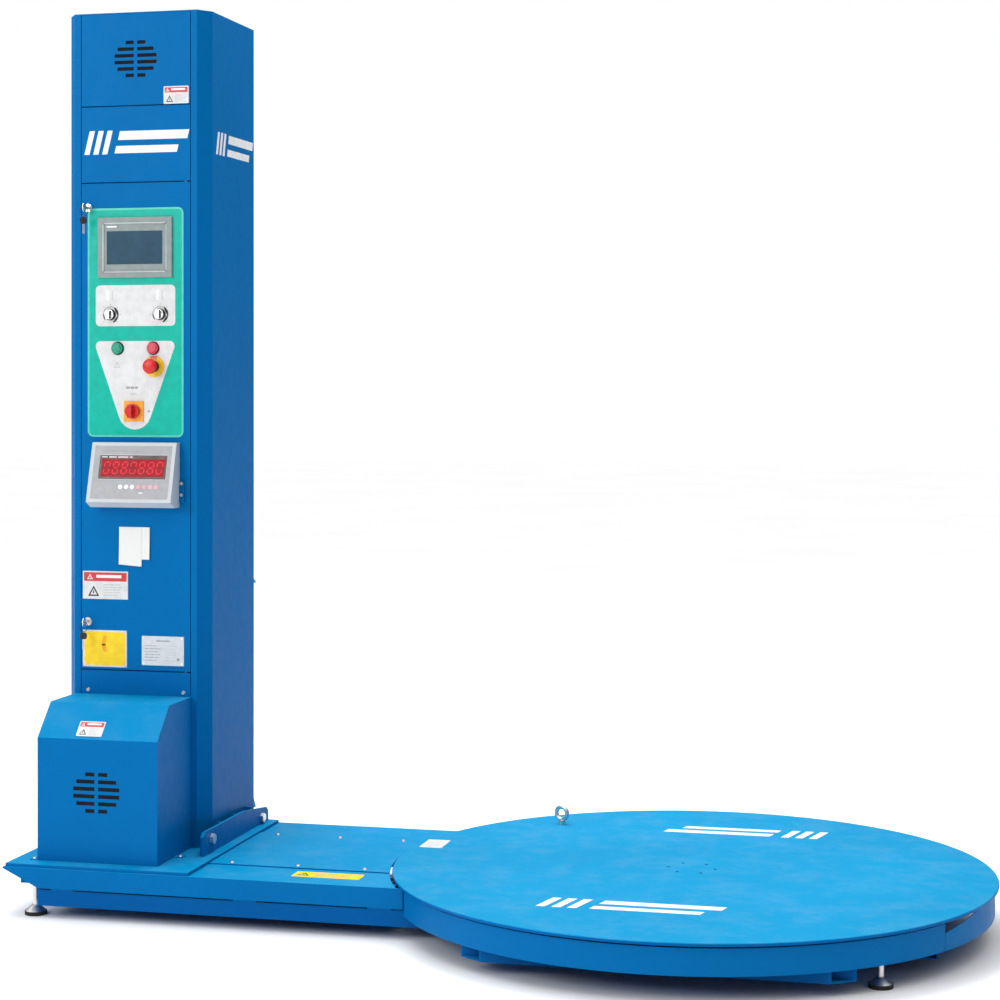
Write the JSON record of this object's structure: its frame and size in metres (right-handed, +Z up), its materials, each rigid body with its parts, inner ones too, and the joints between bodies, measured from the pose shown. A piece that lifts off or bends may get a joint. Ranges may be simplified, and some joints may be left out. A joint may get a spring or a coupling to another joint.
{
  "type": "turntable pallet wrapper",
  "caption": "Pallet stretch-wrapping machine: a low round turntable beside a tall mast with a film carriage, control door and motor cover on a deck with levelling feet.",
  "frame": {"origin": "on the floor at the middle of the machine's length and width", "axes": "+X from the mast to the turntable, -Y the operator side with the control door, +Z up"},
  "size_m": [2.455, 1.4998, 2.327],
  "materials": {
    "frame_paint": "semi-gloss paint",
    "body_paint": "semi-gloss powder coat",
    "disc_paint": "gloss powder coat",
    "rubber": "matt",
    "zinc": "zinc plated",
    "steel": "oiled steel",
    "dark_steel": "blackened",
    "motor_grey": "painted casting",
    "gear_plastic": "moulded",
    "overlay_film": "printed film",
    "bezel_plastic": "moulded",
    "black_plastic": "moulded",
    "red_plastic": "moulded",
    "green_plastic": "moulded",
    "case_white": "fine texture coat",
    "paper": "plain",
    "plate_print": "printed label stock",
    "guide_plastic": "machined",
    "roller_rubber": "ground",
    "roller_steel": "turned",
    "carriage_paint": "semi-gloss powder coat"
  },
  "bodies": {
    "base": {"base_frame": "frame_paint", "base_deck": "body_paint", "mast_foot": "body_paint", "tunnel_cover": "body_paint", "skirt_front": "body_paint", "skirt_access": "body_paint", "foot_pads": "rubber", "levelling_feet": "zinc", "centre_bearing": "steel", "roller_brackets": "dark_steel", "drive_chain": "steel", "turntable_gearmotor": "motor_grey", "motor_cover": "body_paint", "panel_screws": "zinc", "mast_shell": "body_paint", "mast_cap": "body_paint", "vent_panel": "body_paint", "mark_panel": "body_paint", "lower_panel": "body_paint", "foot_bolts": "zinc", "door_hinge_pins": "steel", "electrical_plate": "zinc", "control_gear": "gear_plastic", "lift_gearmotor": "motor_grey", "lift_chain": "steel"},
    "turntable": {"turntable_disc": "disc_paint", "disc_screws": "zinc", "disc_eyebolt": "zinc", "turntable_chainwheel": "steel"},
    "roller_1": {"support_roller_1": "steel"},
    "roller_2": {"support_roller_2": "steel"},
    "roller_3": {"support_roller_3": "steel"},
    "roller_4": {"support_roller_4": "steel"},
    "drive_shaft": {"drive_sprocket": "steel"},
    "door": {"control_door": "body_paint", "control_overlay": "overlay_film", "door_locks": "zinc", "hmi_panel": "bezel_plastic", "switch_collars": "black_plastic", "weight_indicator": "case_white", "ticket_paper": "paper", "door_plates": "plate_print"},
    "upper_lock_key": {"upper_key": "zinc"},
    "lower_lock_key": {"lower_key": "zinc"},
    "knob_left": {"selector_left": "black_plastic"},
    "knob_right": {"selector_right": "black_plastic"},
    "start": {"start_button": "green_plastic"},
    "stop": {"stop_button": "red_plastic"},
    "estop": {"emergency_stop": "red_plastic"},
    "main_switch": {"main_switch_knob": "red_plastic"},
    "lift_top": {"lift_sprocket_top": "steel"},
    "lift_bottom": {"lift_sprocket_bottom": "steel"},
    "carriage": {"carriage_frame": "carriage_paint", "carriage_guides": "guide_plastic"},
    "mandrel": {"film_mandrel": "black_plastic"},
    "stretch_1": {"prestretch_roller_1": "roller_rubber"},
    "stretch_2": {"prestretch_roller_2": "roller_rubber"},
    "idler": {"idler_roller": "roller_steel"},
    "dancer": {"dancer_arm": "dark_steel"},
    "dancer_wheel": {"dancer_roller": "roller_steel"}
  },
  "joints": [
    {"name": "turntable_spin", "type": "hinge", "parent": "base", "child": "turntable", "pos_m": [0.4775, 0, 0.127], "axis": [0, 0, 1], "continuous": true},
    {"name": "roller_1_spin", "type": "hinge", "parent": "base", "child": "roller_1", "pos_m": [1.02367, 0.318, 0.1047], "axis": [0.8642, 0.5032, 0], "continuous": true},
    {"name": "roller_2_spin", "type": "hinge", "parent": "base", "child": "roller_2", "pos_m": [-0.06867, 0.318, 0.1047], "axis": [-0.8642, 0.5032, 0], "continuous": true},
    {"name": "roller_3_spin", "type": "hinge", "parent": "base", "child": "roller_3", "pos_m": [-0.06867, -0.318, 0.1047], "axis": [-0.8642, -0.5032, 0], "continuous": true},
    {"name": "roller_4_spin", "type": "hinge", "parent": "base", "child": "roller_4", "pos_m": [1.02367, -0.318, 0.1047], "axis": [0.8642, -0.5032, 0], "continuous": true},
    {"name": "drive_shaft_spin", "type": "hinge", "parent": "base", "child": "drive_shaft", "pos_m": [-0.9885, -0.152, 0.108], "axis": [0, 0, 1], "continuous": true},
    {"name": "door_swing", "type": "hinge", "parent": "base", "child": "door", "pos_m": [-0.8495, -0.0535, 1.235], "axis": [0, 0, 1], "range_deg": [0, 100]},
    {"name": "upper_key_turn", "type": "hinge", "parent": "door", "child": "upper_lock_key", "pos_m": [-1.1225, -0.06, 1.813], "axis": [0, 1, 0], "range_deg": [0, 90]},
    {"name": "lower_key_turn", "type": "hinge", "parent": "door", "child": "lower_lock_key", "pos_m": [-1.1225, -0.06, 0.718], "axis": [0, 1, 0], "range_deg": [0, 90]},
    {"name": "left_knob_turn", "type": "hinge", "parent": "door", "child": "knob_left", "pos_m": [-1.0585, -0.065, 1.53], "axis": [0, -1, 0], "range_deg": [-135, 135]},
    {"name": "right_knob_turn", "type": "hinge", "parent": "door", "child": "knob_right", "pos_m": [-0.9185, -0.065, 1.53], "axis": [0, -1, 0], "range_deg": [-135, 135]},
    {"name": "start_button_press", "type": "slide", "parent": "door", "child": "start", "axis": [0, 1, 0], "range_m": [0, 0.003], "stiffness_N_per_m": 400, "springref_m": -0.002},
    {"name": "stop_button_press", "type": "slide", "parent": "door", "child": "stop", "axis": [0, 1, 0], "range_m": [0, 0.003], "stiffness_N_per_m": 400, "springref_m": -0.002},
    {"name": "emergency_stop_press", "type": "slide", "parent": "door", "child": "estop", "axis": [0, 1, 0], "range_m": [0, 0.004]},
    {"name": "main_switch_turn", "type": "hinge", "parent": "door", "child": "main_switch", "pos_m": [-0.9925, -0.065, 1.275], "axis": [0, -1, 0], "range_deg": [0, 90]},
    {"name": "carriage_lift", "type": "slide", "parent": "base", "child": "carriage", "axis": [0, 0, 1], "range_m": [0, 1.48]},
    {"name": "lift_top_spin", "type": "hinge", "parent": "base", "child": "lift_top", "pos_m": [-0.9885, 0.25, 2.197], "axis": [1, 0, 0], "continuous": true},
    {"name": "lift_bottom_spin", "type": "hinge", "parent": "base", "child": "lift_bottom", "pos_m": [-0.9885, 0.25, 0.178], "axis": [1, 0, 0], "continuous": true},
    {"name": "mandrel_spin", "type": "hinge", "parent": "carriage", "child": "mandrel", "pos_m": [-1.0985, 0.584, 0.48], "axis": [0, 0, 1], "continuous": true},
    {"name": "stretch_1_spin", "type": "hinge", "parent": "carriage", "child": "stretch_1", "pos_m": [-0.9065, 0.391, 0.48], "axis": [0, 0, 1], "continuous": true},
    {"name": "stretch_2_spin", "type": "hinge", "parent": "carriage", "child": "stretch_2", "pos_m": [-0.9905, 0.391, 0.48], "axis": [0, 0, 1], "continuous": true},
    {"name": "idler_spin", "type": "hinge", "parent": "carriage", "child": "idler", "pos_m": [-1.0485, 0.43, 0.48], "axis": [0, 0, 1], "continuous": true},
    {"name": "dancer_swing", "type": "hinge", "parent": "carriage", "child": "dancer", "pos_m": [-0.9685, 0.47, 0.48], "axis": [0, 0, 1], "range_deg": [-5, 35], "stiffness_Nm_per_rad": 2},
    {"name": "dancer_roller_spin", "type": "hinge", "parent": "dancer", "child": "dancer_wheel", "pos_m": [-0.8885, 0.47, 0.48], "axis": [0, 0, 1], "continuous": true}
  ],
  "couplings": [
    {"joint": "roller_1_spin", "follows": "turntable_spin", "ratio": -28.727},
    {"joint": "roller_2_spin", "follows": "turntable_spin", "ratio": -28.727},
    {"joint": "roller_3_spin", "follows": "turntable_spin", "ratio": -28.727},
    {"joint": "roller_4_spin", "follows": "turntable_spin", "ratio": -28.727},
    {"joint": "drive_shaft_spin", "follows": "turntable_spin", "ratio": 4},
    {"joint": "lift_top_spin", "follows": "carriage_lift", "rad_per_m": 40.816},
    {"joint": "lift_bottom_spin", "follows": "carriage_lift", "rad_per_m": 40.816},
    {"joint": "stretch_2_spin", "follows": "stretch_1_spin", "ratio": -0.4}
  ]
}
